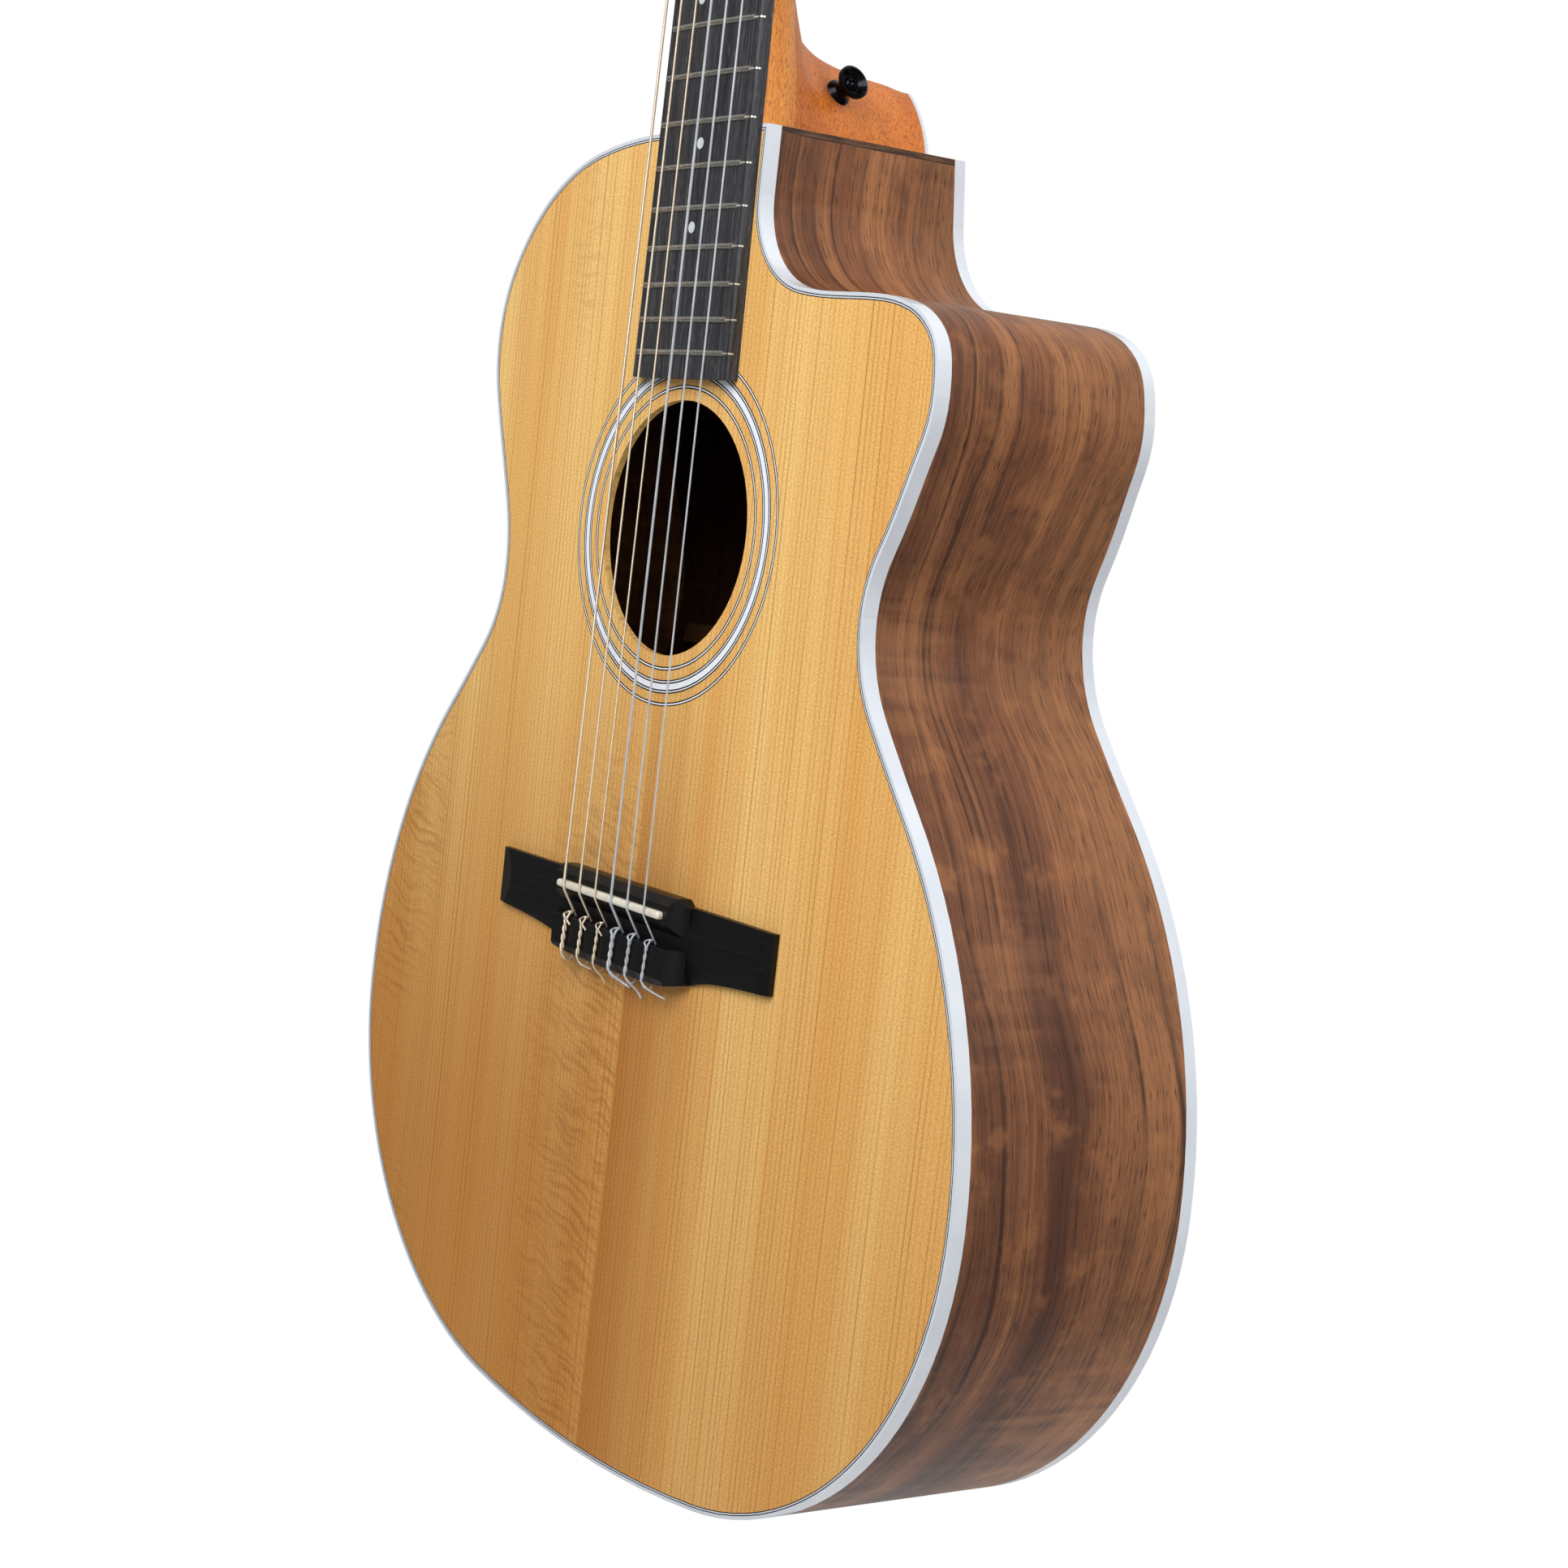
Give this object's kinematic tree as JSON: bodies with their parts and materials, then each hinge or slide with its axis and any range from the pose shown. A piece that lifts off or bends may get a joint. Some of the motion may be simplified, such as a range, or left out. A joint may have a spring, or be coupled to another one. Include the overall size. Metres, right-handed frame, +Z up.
{
  "type": "classical guitar",
  "caption": "Nylon-string guitar with a rounded single cutaway, spruce top, walnut body, white binding, slotted headstock and geared tuners.",
  "frame": {"origin": "centre line at the front edge of the nut, in the plane of the soundboard's outer face, where the fretboard is glued to the neck", "axes": "+Z up the neck to the headstock, +Y from the strings to the back, +X to the treble side with the cutaway"},
  "size_m": [0.4052, 0.1254, 1.0501],
  "materials": {
    "spruce": "satin, straight vertical grain",
    "walnut": "satin, long dark streaks",
    "mahogany": "satin, honey stain",
    "ebony": "close-grained, oiled",
    "maple": "plain",
    "binding": "cool white",
    "inlay": "black and white lines",
    "fret_wire": "polished nickel silver",
    "marker": "white dots",
    "bone": "polished bone",
    "nylon": "clear nylon",
    "wound_string": "silver-plated winding",
    "plated_metal": "nickel plate",
    "roller_sleeve": "cream sleeve",
    "brass_gear": "brass",
    "button_plastic": "pearl-like, cream",
    "black_metal": "glossy black"
  },
  "bodies": {
    "guitar": {"soundboard": "spruce", "top_braces": "spruce", "back_braces": "spruce", "back_plate": "walnut", "side_bass": "walnut", "side_treble": "walnut", "neck": "mahogany", "heel_block": "mahogany", "neck_block": "mahogany", "tail_block": "mahogany", "lining_top": "mahogany", "lining_back": "mahogany", "fretboard": "ebony", "bridge": "ebony", "headstock_veneer": "ebony", "bridge_patch": "maple", "binding_top": "binding", "binding_back": "binding", "heel_cap": "binding", "purfling": "inlay", "rosette_rings": "inlay", "frets": "fret_wire", "fret_markers": "marker", "nut": "bone", "saddle": "bone", "string_1": "nylon", "string_2": "nylon", "string_3": "nylon", "string_4": "wound_string", "string_5": "wound_string", "string_6": "wound_string", "tuner_plate_bass": "plated_metal", "tuner_plate_treble": "plated_metal", "tuner_plate_screws": "plated_metal", "strap_buttons": "black_metal", "strap_button_screws": "black_metal"},
    "roller_1": {"string_roller_1": "roller_sleeve", "worm_gear_1": "brass_gear"},
    "tuner_1": {"worm_shaft_1": "plated_metal", "tuner_button_1": "button_plastic"},
    "roller_2": {"string_roller_2": "roller_sleeve", "worm_gear_2": "brass_gear"},
    "tuner_2": {"worm_shaft_2": "plated_metal", "tuner_button_2": "button_plastic"},
    "roller_3": {"string_roller_3": "roller_sleeve", "worm_gear_3": "brass_gear"},
    "tuner_3": {"worm_shaft_3": "plated_metal", "tuner_button_3": "button_plastic"},
    "roller_4": {"string_roller_4": "roller_sleeve", "worm_gear_4": "brass_gear"},
    "tuner_4": {"worm_shaft_4": "plated_metal", "tuner_button_4": "button_plastic"},
    "roller_5": {"string_roller_5": "roller_sleeve", "worm_gear_5": "brass_gear"},
    "tuner_5": {"worm_shaft_5": "plated_metal", "tuner_button_5": "button_plastic"},
    "roller_6": {"string_roller_6": "roller_sleeve", "worm_gear_6": "brass_gear"},
    "tuner_6": {"worm_shaft_6": "plated_metal", "tuner_button_6": "button_plastic"}
  },
  "joints": [
    {"name": "tuner_turn_1", "type": "hinge", "parent": "guitar", "child": "tuner_1", "pos_m": [0.04, 0.02345, 0.05209], "axis": [0, 0.9659, -0.2588], "continuous": true},
    {"name": "roller_turn_1", "type": "hinge", "parent": "guitar", "child": "roller_1", "pos_m": [0, 0.02105, 0.04311], "axis": [1, 0, 0], "continuous": true},
    {"name": "tuner_turn_2", "type": "hinge", "parent": "guitar", "child": "tuner_2", "pos_m": [0.04, 0.03251, 0.0859], "axis": [0, 0.9659, -0.2588], "continuous": true},
    {"name": "roller_turn_2", "type": "hinge", "parent": "guitar", "child": "roller_2", "pos_m": [0, 0.0301, 0.07692], "axis": [1, 0, 0], "continuous": true},
    {"name": "tuner_turn_3", "type": "hinge", "parent": "guitar", "child": "tuner_3", "pos_m": [0.04, 0.04157, 0.11971], "axis": [0, 0.9659, -0.2588], "continuous": true},
    {"name": "roller_turn_3", "type": "hinge", "parent": "guitar", "child": "roller_3", "pos_m": [0, 0.03916, 0.11073], "axis": [1, 0, 0], "continuous": true},
    {"name": "tuner_turn_4", "type": "hinge", "parent": "guitar", "child": "tuner_4", "pos_m": [-0.04, 0.04157, 0.11971], "axis": [0, 0.9659, -0.2588], "continuous": true},
    {"name": "roller_turn_4", "type": "hinge", "parent": "guitar", "child": "roller_4", "pos_m": [0, 0.03916, 0.11073], "axis": [1, 0, 0], "continuous": true},
    {"name": "tuner_turn_5", "type": "hinge", "parent": "guitar", "child": "tuner_5", "pos_m": [-0.04, 0.03251, 0.0859], "axis": [0, 0.9659, -0.2588], "continuous": true},
    {"name": "roller_turn_5", "type": "hinge", "parent": "guitar", "child": "roller_5", "pos_m": [0, 0.0301, 0.07692], "axis": [1, 0, 0], "continuous": true},
    {"name": "tuner_turn_6", "type": "hinge", "parent": "guitar", "child": "tuner_6", "pos_m": [-0.04, 0.02345, 0.05209], "axis": [0, 0.9659, -0.2588], "continuous": true},
    {"name": "roller_turn_6", "type": "hinge", "parent": "guitar", "child": "roller_6", "pos_m": [0, 0.02105, 0.04311], "axis": [1, 0, 0], "continuous": true}
  ],
  "couplings": [
    {"joint": "roller_turn_1", "follows": "tuner_turn_1", "ratio": 0.071429},
    {"joint": "roller_turn_2", "follows": "tuner_turn_2", "ratio": 0.071429},
    {"joint": "roller_turn_3", "follows": "tuner_turn_3", "ratio": 0.071429},
    {"joint": "roller_turn_4", "follows": "tuner_turn_4", "ratio": 0.071429},
    {"joint": "roller_turn_5", "follows": "tuner_turn_5", "ratio": 0.071429},
    {"joint": "roller_turn_6", "follows": "tuner_turn_6", "ratio": 0.071429}
  ]
}
